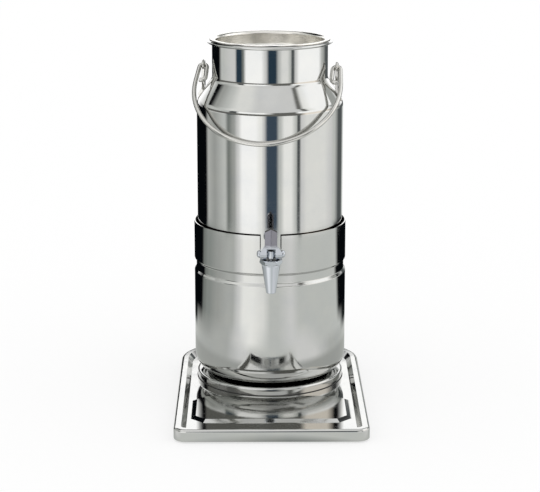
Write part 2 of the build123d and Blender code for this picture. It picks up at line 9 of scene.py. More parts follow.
import bmesh
import bpy
import numpy as np
from bpy.props import FloatProperty, FloatVectorProperty, PointerProperty
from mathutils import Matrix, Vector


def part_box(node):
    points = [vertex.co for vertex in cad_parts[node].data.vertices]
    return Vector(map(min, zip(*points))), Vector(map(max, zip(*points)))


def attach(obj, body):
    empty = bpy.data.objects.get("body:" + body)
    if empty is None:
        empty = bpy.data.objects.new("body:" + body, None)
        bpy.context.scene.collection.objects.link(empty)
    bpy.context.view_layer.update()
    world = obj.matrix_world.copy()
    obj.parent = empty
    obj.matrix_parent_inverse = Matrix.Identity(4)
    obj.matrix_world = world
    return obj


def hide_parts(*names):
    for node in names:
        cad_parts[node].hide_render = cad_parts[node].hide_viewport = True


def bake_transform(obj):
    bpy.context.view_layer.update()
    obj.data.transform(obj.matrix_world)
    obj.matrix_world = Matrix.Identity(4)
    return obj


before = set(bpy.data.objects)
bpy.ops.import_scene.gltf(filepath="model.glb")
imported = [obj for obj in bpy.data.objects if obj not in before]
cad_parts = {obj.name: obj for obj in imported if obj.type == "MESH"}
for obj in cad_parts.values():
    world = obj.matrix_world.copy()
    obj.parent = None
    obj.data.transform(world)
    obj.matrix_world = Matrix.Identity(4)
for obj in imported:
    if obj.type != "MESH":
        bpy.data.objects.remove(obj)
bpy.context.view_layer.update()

bl_info = {
    "name": "Milk Can Dresser",
    "version": (1, 0, 0),
    "blender": (4, 5, 0),
    "location": "View3D > Sidebar > Milk Can",
    "description": "Gives the packed milk can its finishes, its welds and its studio",
    "category": "Object",
}

MM = 0.001


def node_box(name):
    """Lowest and highest corner of a frame node, as arrays."""
    low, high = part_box(name)
    return np.array(low), np.array(high)


def linear(code):
    """Linear RGBA of an sRGB colour such as "#c8c8c6"."""
    values = [int(code[i : i + 2], 16) / 255 for i in (1, 3, 5)]
    return [v / 12.92 if v <= 0.04045 else ((v + 0.055) / 1.055) ** 2.4 for v in values] + [1.0]


# ---------------------------------------------------------------- places on the frame
BODY_LOW, BODY_HIGH = node_box("can_body")
NECK_LOW = node_box("can_neck")[0]
DRUM_LOW, DRUM_HIGH = node_box("foot_drum")
GRIP_LOW, GRIP_HIGH = node_box("lid_grip")
CAN_AXIS = (BODY_LOW + BODY_HIGH) / 2
DRUM_RADIUS = (DRUM_HIGH[0] - DRUM_LOW[0]) / 2

# The lever's cam feet and hub take up this share of its height, and its blade the rest.
HUB_SHARE = 0.42
LEVER_LOW, LEVER_HIGH = node_box("tap_lever")
# Above this foot the lever's chrome takes the darker colour of painted shade.
BLADE_FOOT = LEVER_LOW[2] + HUB_SHARE * (LEVER_HIGH[2] - LEVER_LOW[2])

# The shoulder's cone starts under the neck's seam and falls this far for each length
# outwards. The ears' straps lie on it, between two distances from the can's axis.
NECK_RADIUS = 65.4 * MM
SEAM_RISE = 4 * MM
SHOULDER_FALL = 27.0 / 17.7
STRAP_WIDTH = 8 * MM
STRAP_HEAD_REACH = 77 * MM
STRAP_FOOT_REACH = 81 * MM
STRAP_HEAD_LEVEL = (
    NECK_LOW[2] - SEAM_RISE - SHOULDER_FALL * (STRAP_HEAD_REACH - NECK_RADIUS)
)

# A weld's path runs from -1 to 1. The outer part of each half, of this length, follows
# a side of the strap, and the rest is swept round the strap's foot at this rate.
WELD_SIDE = 0.41
WELD_SWEEP = 1.7
WELD_STEPS = 97

# The grip's spot welds: how many radii their middles lie in from the grip's ends, and
# how far they rise above and reach below the strip.
GRIP_THICKNESS = 1.6 * MM
SPOT_INSET = 1.9
SPOT_RISE = 0.16 * MM
SPOT_DEPTH = 0.1 * MM

# Points closer than this are one point, and a bead tapers faster with a higher rate.
SAME_POINT = 1e-7
TAPER_RATE = 6.0

# A wave texture repeats after this length divided by its scale.
WAVE_REPEAT = math.tau / 20


# ---------------------------------------------------------------- material helpers
def add_node(tree, kind, links=(), **values):
    """Adds a node. A value sets an attribute or, where none has that name, the input
    socket of that name. Each link is (this node's input, other node, its output)."""
    node = tree.nodes.new(kind)
    for key, value in values.items():
        if hasattr(node, key):
            setattr(node, key, value)
        else:
            node.inputs[key.replace("_", " ")].default_value = value
    for target, source, output in links:
        tree.links.new(source.outputs[output], node.inputs[target])
    return node


def new_material(name):
    """An empty node material and its tree."""
    material = bpy.data.materials.new(name)
    material.use_nodes = True
    tree = material.node_tree
    tree.nodes.clear()
    return material, tree


def close_material(tree, shader, output="BSDF"):
    """Joins the shader to the material's output."""
    add_node(tree, "ShaderNodeOutputMaterial", [("Surface", shader, output)])


# ---------------------------------------------------------------- materials
def polished_steel_sheet(settings):
    """Stainless steel sheet, drawn and then mirror polished on a lathe."""
    # Polishing leaves faint lines round the axis, drawn here as coarse as they show.
    # Hands leave hazy patches, and rolled sheet is never quite even, so edges of
    # reflections waver a little.
    material, tree = new_material("polished_stainless_steel")
    place = add_node(tree, "ShaderNodeTexCoord")
    lines_place = add_node(
        tree, "ShaderNodeMapping", [("Vector", place, "Object")], Scale=(1.0, 1.0, 40.0)
    )
    lines = add_node(
        tree, "ShaderNodeTexNoise", [("Vector", lines_place, "Vector")],
        Scale=1 / (40 * MM), Detail=4.0, Roughness=0.7,
    )
    haze = add_node(
        tree, "ShaderNodeTexNoise", [("Vector", place, "Object")], Scale=1 / (22 * MM), Detail=5.0
    )
    sheet = add_node(
        tree, "ShaderNodeTexNoise", [("Vector", place, "Object")], Scale=1 / (60 * MM), Detail=1.0
    )
    hazy = add_node(
        tree, "ShaderNodeMapRange", [("Value", haze, "Fac")],
        From_Min=0.4, From_Max=0.75, To_Min=0.0, To_Max=0.05,
    )
    lined = add_node(
        tree, "ShaderNodeMapRange", [("Value", lines, "Fac")],
        From_Min=0.35, From_Max=0.7, To_Min=settings.polish, To_Max=settings.polish + 0.05,
    )
    roughness = add_node(
        tree, "ShaderNodeMath", [(0, hazy, "Result"), (1, lined, "Result")], operation="ADD"
    )
    tint = add_node(tree, "ShaderNodeValToRGB", [("Fac", haze, "Fac")])
    tint.color_ramp.elements[0].position = 0.3
    tint.color_ramp.elements[0].color = linear("#cbcbc8")
    tint.color_ramp.elements[1].position = 0.75
    tint.color_ramp.elements[1].color = linear("#c5c6c5")
    wave = add_node(
        tree, "ShaderNodeBump", [("Height", sheet, "Fac")], Strength=1.0, Distance=0.05 * MM
    )
    bump = add_node(
        tree, "ShaderNodeBump", [("Height", lines, "Fac"), ("Normal", wave, "Normal")],
        Strength=1.0, Distance=0.0008 * MM,
    )
    shader = add_node(
        tree, "ShaderNodeBsdfPrincipled",
        [("Base Color", tint, "Color"), ("Roughness", roughness, "Value"), ("Normal", bump, "Normal")],
        Metallic=1.0,
    )
    close_material(tree, shader)
    return material


def spun_steel_sheet(settings):
    """Stainless steel sheet spun to a dish and left as it came off the lathe."""
    # The spinning roller leaves fine rings round the axis, which spread a lamp's
    # reflection into spokes. They are drawn about twice as coarse as real ones.
    material, tree = new_material("spun_stainless_steel")
    place = add_node(tree, "ShaderNodeTexCoord")
    centred = add_node(
        tree, "ShaderNodeMapping", [("Vector", place, "Object")],
        Location=(-CAN_AXIS[0], -CAN_AXIS[1], 0.0),
    )
    rings = add_node(
        tree, "ShaderNodeTexWave", [("Vector", centred, "Vector")],
        wave_type="RINGS", rings_direction="Z", Scale=WAVE_REPEAT / (1.6 * MM),
        Distortion=1.5, Detail=3.0, Detail_Scale=2.0,
    )
    haze = add_node(
        tree, "ShaderNodeTexNoise", [("Vector", place, "Object")], Scale=1 / (14 * MM), Detail=4.0
    )
    roughness = add_node(
        tree, "ShaderNodeMapRange", [("Value", haze, "Fac")],
        From_Min=0.3, From_Max=0.75, To_Min=0.17, To_Max=0.28,
    )
    tint = add_node(tree, "ShaderNodeValToRGB", [("Fac", haze, "Fac")])
    tint.color_ramp.elements[0].color = linear("#ebe9e4")
    tint.color_ramp.elements[1].color = linear("#dedcd6")
    bump = add_node(
        tree, "ShaderNodeBump", [("Height", rings, "Fac")], Strength=1.0, Distance=0.012 * MM
    )
    shader = add_node(
        tree, "ShaderNodeBsdfPrincipled",
        [("Base Color", tint, "Color"), ("Roughness", roughness, "Result"), ("Normal", bump, "Normal")],
        Metallic=1.0,
    )
    close_material(tree, shader)
    return material


def satin_steel(settings):
    """Stainless steel bar, turned or cut and tumbled to a satin."""
    # Tumbling softens every edge and leaves fine crossing scratches that blur what
    # the metal mirrors.
    material, tree = new_material("tumbled_stainless_steel")
    place = add_node(tree, "ShaderNodeTexCoord")
    scratch_place = add_node(
        tree, "ShaderNodeMapping", [("Vector", place, "Object")], Scale=(1.0, 6.0, 1.0)
    )
    scratches = add_node(
        tree, "ShaderNodeTexNoise", [("Vector", scratch_place, "Vector")],
        Scale=1 / (2.5 * MM), Detail=5.0, Roughness=0.75,
    )
    roughness = add_node(
        tree, "ShaderNodeMapRange", [("Value", scratches, "Fac")],
        From_Min=0.3, From_Max=0.7, To_Min=0.22, To_Max=0.36,
    )
    edge = add_node(tree, "ShaderNodeBevel", samples=4, Radius=0.4 * MM)
    bump = add_node(
        tree, "ShaderNodeBump", [("Height", scratches, "Fac"), ("Normal", edge, "Normal")],
        Strength=1.0, Distance=0.02 * MM,
    )
    shader = add_node(
        tree, "ShaderNodeBsdfPrincipled",
        [("Roughness", roughness, "Result"), ("Normal", bump, "Normal")],
        Metallic=1.0, Base_Color=linear("#b9b9b5"),
    )
    close_material(tree, shader)
    return material


def drawn_steel_wire(settings):
    """Stainless steel wire and strip, drawn through a die and polished by hand."""
    # The die leaves fine lines, and hand polishing leaves the bends a little duller.
    material, tree = new_material("drawn_stainless_steel")
    place = add_node(tree, "ShaderNodeTexCoord")
    lines = add_node(
        tree, "ShaderNodeTexNoise", [("Vector", place, "Object")],
        Scale=1 / (1.2 * MM), Detail=3.0, Roughness=0.6,
    )
    dull = add_node(
        tree, "ShaderNodeTexNoise", [("Vector", place, "Object")], Scale=1 / (12 * MM), Detail=2.0
    )
    roughness = add_node(
        tree, "ShaderNodeMapRange", [("Value", dull, "Fac")],
        From_Min=0.35, From_Max=0.7, To_Min=0.04, To_Max=0.1,
    )
    edge = add_node(tree, "ShaderNodeBevel", samples=4, Radius=0.5 * MM)
    bump = add_node(
        tree, "ShaderNodeBump", [("Height", lines, "Fac"), ("Normal", edge, "Normal")],
        Strength=1.0, Distance=0.004 * MM,
    )
    shader = add_node(
        tree, "ShaderNodeBsdfPrincipled",
        [("Roughness", roughness, "Result"), ("Normal", bump, "Normal")],
        Metallic=1.0, Base_Color=linear("#cdccc8"),
    )
    close_material(tree, shader)
    return material


def chrome_plate(name, colour, shaded=None, level=0.0):
    """A casting, polished and chrome plated. Above the level it turns to the second colour, which is
    painted shade: a darker colour standing in for the dark that the part mirrors."""
    # Chrome is bluer and sharper than steel. The casting under it is slightly
    # lumpy, and every edge is rounded by buffing before it is plated.
    material, tree = new_material(name)
    place = add_node(tree, "ShaderNodeTexCoord")
    lumps = add_node(
        tree, "ShaderNodeTexNoise", [("Vector", place, "Object")], Scale=1 / (5 * MM), Detail=2.0
    )
    spots = add_node(
        tree, "ShaderNodeTexNoise", [("Vector", place, "Object")], Scale=1 / (1.5 * MM), Detail=4.0
    )
    roughness = add_node(
        tree, "ShaderNodeMapRange", [("Value", spots, "Fac")],
        From_Min=0.45, From_Max=0.75, To_Min=0.025, To_Max=0.11,
    )
    split = add_node(tree, "ShaderNodeSeparateXYZ", [("Vector", place, "Object")])
    fade = 2 * MM
    # The tint turns to the second colour above the level: painted shade for the dark that the part
    # mirrors.
    blade_shade = add_node(
        tree, "ShaderNodeMapRange", [("Value", split, "Z")],
        From_Min=level - fade, From_Max=level + fade, To_Min=0.0, To_Max=1.0,
    )
    tint = add_node(tree, "ShaderNodeValToRGB", [("Fac", blade_shade, "Result")])
    tint.color_ramp.elements[0].color = (*colour, 1.0)
    tint.color_ramp.elements[1].color = (*(shaded or colour), 1.0)
    edge = add_node(tree, "ShaderNodeBevel", samples=6, Radius=0.6 * MM)
    bump = add_node(
        tree, "ShaderNodeBump", [("Height", lumps, "Fac"), ("Normal", edge, "Normal")],
        Strength=1.0, Distance=0.03 * MM,
    )
    shader = add_node(
        tree, "ShaderNodeBsdfPrincipled",
        [("Base Color", tint, "Color"), ("Roughness", roughness, "Result"), ("Normal", bump, "Normal")],
        Metallic=1.0,
    )
    close_material(tree, shader)
    return material


def tap_chrome(settings):
    """Cast and turned brass, polished and chrome plated."""
    return chrome_plate("chrome_plated_brass", settings.chrome_colour)


def lever_chrome(settings):
    """Cast zinc, polished and chrome plated, with its blade in a darker colour that is painted shade."""
    return chrome_plate(
        "chrome_plated_zinc", settings.chrome_colour, settings.blade_shade_colour, BLADE_FOOT
    )


def weld_metal(settings):
    """Stainless weld, brushed and polished but still rippled."""
    # Each ripple is one step of the torch, about a millimetre along the seam.
    material, tree = new_material("brushed_stainless_weld")
    place = add_node(tree, "ShaderNodeTexCoord")
    ripples = add_node(
        tree, "ShaderNodeTexNoise", [("Vector", place, "Object")], Scale=1 / (1.1 * MM), Detail=2.0
    )
    tint = add_node(tree, "ShaderNodeValToRGB", [("Fac", ripples, "Fac")])
    tint.color_ramp.elements[0].color = linear("#a29c90")
    tint.color_ramp.elements[1].color = linear("#c2c0b9")
    bump = add_node(
        tree, "ShaderNodeBump", [("Height", ripples, "Fac")], Strength=1.0, Distance=0.12 * MM
    )
    shader = add_node(
        tree, "ShaderNodeBsdfPrincipled", [("Base Color", tint, "Color"), ("Normal", bump, "Normal")],
        Metallic=1.0, Roughness=0.28,
    )
    close_material(tree, shader)
    return material


def moulded_rubber(settings):
    """Black nitrile rubber, press moulded in an etched mould."""
    # The mould's grain scatters light, and bloom from the rubber greys it in patches.
    material, tree = new_material("moulded_nitrile_rubber")
    place = add_node(tree, "ShaderNodeTexCoord")
    grain = add_node(
        tree, "ShaderNodeTexNoise", [("Vector", place, "Object")], Scale=1 / (0.5 * MM), Detail=2.0
    )
    bloom = add_node(
        tree, "ShaderNodeTexNoise", [("Vector", place, "Object")], Scale=1 / (6 * MM), Detail=5.0
    )
    tint = add_node(tree, "ShaderNodeValToRGB", [("Fac", bloom, "Fac")])
    tint.color_ramp.elements[0].position = 0.4
    tint.color_ramp.elements[0].color = (*settings.rubber_colour, 1.0)
    tint.color_ramp.elements[1].position = 0.85
    tint.color_ramp.elements[1].color = linear("#3a3937")
    roughness = add_node(
        tree, "ShaderNodeMapRange", [("Value", bloom, "Fac")],
        From_Min=0.35, From_Max=0.75, To_Min=0.45, To_Max=0.7,
    )
    bump = add_node(
        tree, "ShaderNodeBump", [("Height", grain, "Fac")], Strength=1.0, Distance=0.04 * MM
    )
    shader = add_node(
        tree, "ShaderNodeBsdfPrincipled",
        [("Base Color", tint, "Color"), ("Roughness", roughness, "Result"), ("Normal", bump, "Normal")],
        IOR=1.52,
    )
    close_material(tree, shader)
    return material


def food_silicone(settings):
    """Clear food silicone, injection moulded."""
    # Light enters it and comes out milky, and dust settles in its soft skin.
    material, tree = new_material("moulded_food_silicone")
    place = add_node(tree, "ShaderNodeTexCoord")
    dust = add_node(
        tree, "ShaderNodeTexNoise", [("Vector", place, "Object")], Scale=1 / (3 * MM), Detail=5.0
    )
    tint = add_node(tree, "ShaderNodeValToRGB", [("Fac", dust, "Fac")])
    tint.color_ramp.elements[0].color = (*settings.silicone_colour, 1.0)
    tint.color_ramp.elements[1].color = linear("#c9c8c2")
    roughness = add_node(
        tree, "ShaderNodeMapRange", [("Value", dust, "Fac")], To_Min=0.3, To_Max=0.5
    )
    bump = add_node(
        tree, "ShaderNodeBump", [("Height", dust, "Fac")], Strength=1.0, Distance=0.03 * MM
    )
    shader = add_node(
        tree, "ShaderNodeBsdfPrincipled",
        [("Base Color", tint, "Color"), ("Roughness", roughness, "Result"), ("Normal", bump, "Normal")],
        IOR=1.41, Subsurface_Weight=0.4, Subsurface_Scale=2 * MM,
    )
    close_material(tree, shader)
    return material


# Every maker is given the finishes' settings, also one that needs none of them.
MAKERS = {
    "polished": polished_steel_sheet,
    "spun": spun_steel_sheet,
    "satin": satin_steel,
    "wire": drawn_steel_wire,
    "chrome": tap_chrome,
    "lever": lever_chrome,
    "weld": weld_metal,
    "rubber": moulded_rubber,
    "silicone": food_silicone,
}
MATERIALS = {}


def finish(name):
    """The finish of that name, made the first time that a piece asks for it."""
    if name not in MATERIALS:
        MATERIALS[name] = MAKERS[name](bpy.context.scene.milk_can_finishes)
    return MATERIALS[name]


def dress(finish_name, *nodes):
    """Puts one finish on every slot of the frame nodes."""
    for node in nodes:
        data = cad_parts[node].data
        for index in range(len(data.materials)):
            data.materials[index] = finish(finish_name)


# ---------------------------------------------------------------- mesh helpers
def grid_mesh(name, points, wrap_u=False, wrap_v=False):
    """Smooth mesh of a grid of points of shape (rows, columns, 3). Each quad joins four
    neighbours, and a wrapped direction joins its last row or column to its first."""
    rows, columns = points.shape[:2]
    u = np.arange(rows if wrap_u else rows - 1)
    v = np.arange(columns if wrap_v else columns - 1)
    i, j = np.meshgrid(u, v, indexing="ij")
    below, right = (i + 1) % rows, (j + 1) % columns
    faces = np.stack(
        [i * columns + j, i * columns + right, below * columns + right, below * columns + j], axis=-1
    ).reshape(-1, 4)
    mesh = bpy.data.meshes.new(name)
    mesh.from_pydata(points.reshape(-1, 3), [], faces)
    mesh.polygons.foreach_set("use_smooth", np.ones(len(faces), dtype=bool))
    mesh.update()
    return mesh


def close_mesh(mesh):
    """Joins points that meet, such as those of a pole, and turns the faces outwards."""
    work = bmesh.new()
    work.from_mesh(mesh)
    bmesh.ops.remove_doubles(work, verts=work.verts, dist=SAME_POINT)
    bmesh.ops.recalc_face_normals(work, faces=work.faces)
    work.to_mesh(mesh)
    work.free()


def new_object(name, mesh, material):
    """Links a mesh at the origin with its material."""
    piece = bpy.data.objects.new(name, mesh)
    mesh.materials.append(material)
    bpy.context.scene.collection.objects.link(piece)
    return piece


def add_piece(name, mesh, finish_name, body):
    """A finished piece that rides on a body of the frame."""
    close_mesh(mesh)
    piece = new_object(name, mesh, finish(finish_name))
    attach(piece, body)
    return piece


def bead_along(path, across, up, half_width, height, around=12):
    """Points of a bead: at each point of the path, an ellipse in the plane of the two
    unit vectors `across` and `up`. It tapers to a point at both ends."""
    steps = np.linspace(0.0, 1.0, len(path))
    swell = np.clip(np.sin(math.pi * steps) * TAPER_RATE, 0.0, 1.0)[:, None, None]
    angle = np.linspace(0.0, math.tau, around, endpoint=False)[None, :, None]
    ring = half_width * np.cos(angle) * across[:, None] + height * np.sin(angle) * up[:, None]
    return path[:, None] + swell * ring


def ring_bead(centre, radius, level, half_width, height, steps=256, around=12):
    """Points of a closed bead round the z axis through `centre`: the ellipse of
    half_width by height, turned once round at `radius` and `level`."""
    turn = np.linspace(0.0, math.tau, steps, endpoint=False)[:, None]
    angle = np.linspace(0.0, math.tau, around, endpoint=False)[None, :]
    reach = radius + half_width * np.cos(angle)
    x = centre[0] + reach * np.cos(turn)
    y = centre[1] + reach * np.sin(turn)
    z = level + height * np.sin(angle) + 0.0 * turn
    return np.stack([x, y, z], axis=-1)


# ---------------------------------------------------------------- settings
class MilkCanFinishes(bpy.types.PropertyGroup):
    """Colours of the finishes and sizes of the welds and seams."""

    polish: FloatProperty(
        name="Polish", description="Roughness of the best polished steel", default=0.03, min=0.0, max=1.0
    )
    chrome_colour: FloatVectorProperty(
        name="Chrome", description="Colour of the chrome plating", subtype="COLOR",
        default=linear("#c6cad0")[:3],
    )
    # The blade's colour is painted shade: darker than the chrome, for the dark that the blade mirrors.
    blade_shade_colour: FloatVectorProperty(
        name="Blade", description="Colour of the lever's dulled blade", subtype="COLOR",
        default=linear("#77767d")[:3],
    )
    rubber_colour: FloatVectorProperty(
        name="Rubber", description="Colour of the feet and gaskets", subtype="COLOR",
        default=linear("#161616")[:3],
    )
    silicone_colour: FloatVectorProperty(
        name="Silicone", description="Colour of the lid's seal", subtype="COLOR",
        default=linear("#dfded8")[:3],
    )
    weld_width: FloatProperty(
        name="Weld width", description="Width of the welds at the ears", default=1.8 * MM, unit="LENGTH"
    )
    seal_width: FloatProperty(
        name="Seal width", description="Width of the rubber bead round the drum's foot",
        default=1.5 * MM, unit="LENGTH",
    )
    spot_radius: FloatProperty(
        name="Spot welds", description="Radius of the grip's spot welds", default=2.2 * MM, unit="LENGTH"
    )


class MilkCanStudio(bpy.types.PropertyGroup):
    """Sizes of the studio and the place of its camera."""

    floor_size: FloatProperty(
        name="Floor size", description="Side of the square floor", default=30.0, unit="LENGTH"
    )
    wall_radius: FloatProperty(
        name="Wall radius", description="Distance of the reflector cards from the can's axis",
        default=1.0, unit="LENGTH",
    )
    camera_place: FloatVectorProperty(
        name="Camera", description="Place of the camera", subtype="XYZ", unit="LENGTH",
        default=(-0.0189, -1.9942, 0.6703),
    )
    camera_tilt: FloatProperty(
        name="Camera tilt", description="Up from straight down", subtype="ANGLE",
        default=math.radians(76.1),
    )
    camera_turn: FloatProperty(
        name="Camera turn", description="To the left", subtype="ANGLE", default=math.radians(-0.53)
    )
    lens: FloatProperty(
        name="Lens", description="Focal length in millimetres", subtype="DISTANCE_CAMERA", default=121.67
    )


# ---------------------------------------------------------------- the pieces
class MILKCAN_OT_can(bpy.types.Operator):
    """Finish the can's body and neck"""

    bl_idname = "milk_can.can"
    bl_label = "Can"

    def execute(self, context):
        dress("polished", "can_body", "can_neck")
        return {"FINISHED"}


class MILKCAN_OT_stand(bpy.types.Operator):
    """Finish the sleeve and its drum, and lay the rubber bead round the drum's foot"""

    bl_idname = "milk_can.stand"
    bl_label = "Sleeve and drum"

    def execute(self, context):
        settings = context.scene.milk_can_finishes
        dress("polished", "stand_sleeve", "foot_drum")
        dress("satin", "can_seat_ring")
        half = settings.seal_width / 2
        points = ring_bead(CAN_AXIS, DRUM_RADIUS, DRUM_LOW[2], half, half)
        add_piece("drum_foot_seal", grid_mesh("drum_foot_seal", points, True, True),
                  "rubber", "stand")
        return {"FINISHED"}


class MILKCAN_OT_tray(bpy.types.Operator):
    """Finish the tray and its feet"""

    bl_idname = "milk_can.tray"
    bl_label = "Tray"

    def execute(self, context):
        dress("polished", "tray")
        dress("rubber", "rubber_feet")
        return {"FINISHED"}


class MILKCAN_OT_fasteners(bpy.types.Operator):
    """Finish the bolts, nuts, washers and spacers of the base"""

    bl_idname = "milk_can.fasteners"
    bl_label = "Base fasteners"

    def execute(self, context):
        dress("satin", "base_bolts", "base_nuts", "base_washers", "base_spacers")
        return {"FINISHED"}


class MILKCAN_OT_bail(bpy.types.Operator):
    """Finish the bail and the ears, and lay the welds round the ears' feet"""

    bl_idname = "milk_can.bail"
    bl_label = "Bail and ears"

    def execute(self, context):
        dress("wire", "bail", "ear_left", "ear_right")
        for name, side in (("ear_left", -1.0), ("ear_right", 1.0)):
            self.lay_weld(name, side, context.scene.milk_can_finishes.weld_width)
        return {"FINISHED"}

    def lay_weld(self, ear, side, width):
        """The weld runs down one edge of the ear's strap, round its foot and up the
        other edge. Its path is a rounded U on the shoulder's cone."""
        low, high = node_box(ear)
        middle = (low + high) / 2 - CAN_AXIS
        out = np.array([middle[0], middle[1], 0.0]) / math.hypot(middle[0], middle[1])
        along = np.array([-out[1], out[0], 0.0]) * side
        run = STRAP_FOOT_REACH - STRAP_HEAD_REACH
        fall = SHOULDER_FALL * run
        t = np.linspace(-1.0, 1.0, WELD_STEPS)
        half = STRAP_WIDTH / 2 + width / 4
        sweep = np.clip(t * WELD_SWEEP, -1.0, 1.0)
        down = np.clip((1.0 - np.abs(t)) / WELD_SIDE, 0.0, 1.0)
        sideways = half * np.sin(sweep * math.pi / 2)
        reach = STRAP_HEAD_REACH + (run + width / 4) * down
        level = STRAP_HEAD_LEVEL - fall * (reach - STRAP_HEAD_REACH) / run
        reach_in = reach - sideways**2 / (2 * reach)
        path = (
            CAN_AXIS[None, :] * np.array([1.0, 1.0, 0.0])
            + reach_in[:, None] * out + sideways[:, None] * along
            + level[:, None] * np.array([0.0, 0.0, 1.0])
        )
        tangent = np.gradient(path, axis=0)
        tangent /= np.linalg.norm(tangent, axis=1)[:, None]
        normal = out + np.array([0.0, 0.0, 1.0]) / SHOULDER_FALL
        normal = np.repeat((normal / np.linalg.norm(normal))[None, :], len(path), axis=0)
        across = np.cross(normal, tangent)
        points = bead_along(path, across, normal, width / 2, width / 3)
        add_piece(ear + "_weld", grid_mesh(ear + "_weld", points, False, True),
                  "weld", "can")


class MILKCAN_OT_lid(bpy.types.Operator):
    """Finish the lid, its grip and its seal, and set the grip's spot welds"""

    bl_idname = "milk_can.lid"
    bl_label = "Lid"

    def execute(self, context):
        dress("spun", "lid")
        dress("wire", "lid_grip")
        dress("silicone", "lid_seal")
        radius = context.scene.milk_can_finishes.spot_radius
        foot = (GRIP_HIGH[0] - GRIP_LOW[0]) / 2 - SPOT_INSET * radius
        for name, side in (("left", -1.0), ("right", 1.0)):
            centre = np.array([side * foot, CAN_AXIS[1], GRIP_LOW[2] + GRIP_THICKNESS])
            mesh = grid_mesh("grip_spot_" + name, self.spot(centre, radius), False, True)
            add_piece("grip_spot_" + name, mesh, "weld", "lid")
        return {"FINISHED"}

    def spot(self, centre, radius, rings=13, around=40):
        """A shallow pressed spot, closed underneath. Its height at a distance r from the
        middle is half a sine wave: a raised ring that sinks to a dimple."""
        r = np.concatenate([[0.0], np.linspace(1.0, 0.0, rings)])[:, None]
        turn = np.linspace(0.0, math.tau, around, endpoint=False)[None, :]
        height = SPOT_RISE * np.sin(math.pi * r)
        height[:2] = -SPOT_DEPTH
        x = centre[0] + radius * r * np.cos(turn)
        y = centre[1] + radius * r * np.sin(turn)
        return np.stack([x, y, centre[2] + height + 0.0 * turn], axis=-1)


class MILKCAN_OT_tap(bpy.types.Operator):
    """Finish the tap, its lever and its fixings"""

    bl_idname = "milk_can.tap"
    bl_label = "Tap"

    def execute(self, context):
        dress("chrome", "tap_body", "lever_pin")
        dress("lever", "tap_lever")
        dress("rubber", "outer_gasket", "inner_gasket")
        dress("satin", "shank_washer", "shank_nut")
        return {"FINISHED"}


class MILKCAN_OT_valve(bpy.types.Operator):
    """Finish the valve inside the tap, and put a copy of its spring in place of the frame's spring"""

    bl_idname = "milk_can.valve"
    bl_label = "Valve"

    def execute(self, context):
        dress("chrome", "valve_stem")
        dress("satin", "gland_plug", "valve_screw", "valve_spring")
        dress("rubber", "stem_oring", "valve_washer")
        self.flex_spring()
        return {"FINISHED"}

    def flex_spring(self):
        """A copy of the coil, standing where the frame's spring stands, which is hidden."""
        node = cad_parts["valve_spring"]
        coil = bpy.data.objects.new("valve_spring_coil", node.data.copy())
        bpy.context.scene.collection.objects.link(coil)
        bpy.context.view_layer.update()
        coil.matrix_world = node.matrix_world.copy()
        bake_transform(coil)
        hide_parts("valve_spring")


# ---------------------------------------------------------------- the studio
# The steel mirrors a ring of cards round the can. A card is named for the sRGB colour
# that polished steel shows when it mirrors the card.
BLACK = "#040608"
SOOT = "#1c2020"
NAVY = "#243440"
SLATE = "#384450"
IRON = "#484c4c"
LEAD = "#60605c"
FLINT = "#707470"
STONE = "#808480"
PEBBLE = "#949692"
ASH = "#a4a6a2"
DOVE = "#b4b6b2"
SILVER = "#c4c4c2"
PEARL = "#d4d4d0"
CREAM = "#e0d8cc"
CHALK = "#e0e0dc"
WHITE = "#f0f0ee"

# The steel's own colour, by which a card's colour is divided to get its glow.
STEEL = "#c9c9c7"

# Each band is (first angle, last angle, card), in degrees from the front, rightwards.
# Neighbours blend. The floor's bands lie on a sheet just above the floor that only the steel mirrors:
# painted shade and painted reflection standing in for the floor's tones in the steel. The others stand on
# the wall.
FAR_FLOOR_SHADE = (
    (-180, -119, BLACK),
    (-113, -110, FLINT),
    (-104, -98, STONE),
    (-83, -80, PEBBLE),
    (-63, -54, ASH),
    (-46, -45, SILVER),
    (-38, -25, CHALK),
    (-12, -10, PEARL),
    (0, 10, DOVE),
    (27, 30, SILVER),
    (40, 111, DOVE),
    (119, 150, BLACK),
)
FLOOR_SHADE = (
    (-180, -140, SOOT),
    (-132, -98, PEBBLE),
    (-80, -60, ASH),
    (-46, -45, SILVER),
    (-29, -25, CHALK),
    (0, 10, DOVE),
    (27, 46, SILVER),
    (72, 120, DOVE),
    (134, 150, SOOT),
)
NEAR_FLOOR_SHADE = (
    (-180, -60, ASH),
    (-40, -32, SILVER),
    (-26, 26, DOVE),
    (36, 60, SILVER),
    (90, 150, ASH),
)
SKIRT_FLOOR_SHADE = (
    (-180, -10, PEBBLE),
    (5, 16, FLINT),
    (24, 180, PEBBLE),
)
LOW_CARDS = (
    (-180, -117, BLACK),
    (-110, -108, ASH),
    (-95, -93, PEBBLE),
    (-75, -72, DOVE),
    (-67, -65, FLINT),
    (-58, -56, PEBBLE),
    (-50.5, -49.5, SILVER),
    (-43, -22, WHITE),
    (-15, -13, CHALK),
    (-10.5, -9.5, SILVER),
    (-4.5, 9, SLATE),
    (13.5, 15.5, DOVE),
    (21, 32, CHALK),
    (38.5, 39.5, DOVE),
    (42, 44.5, IRON),
    (47.5, 49, SILVER),
    (57, 92, PEARL),
    (105, 107, SILVER),
    (115, 118, DOVE),
    (132, 148, IRON),
    (159, 163, DOVE),
)
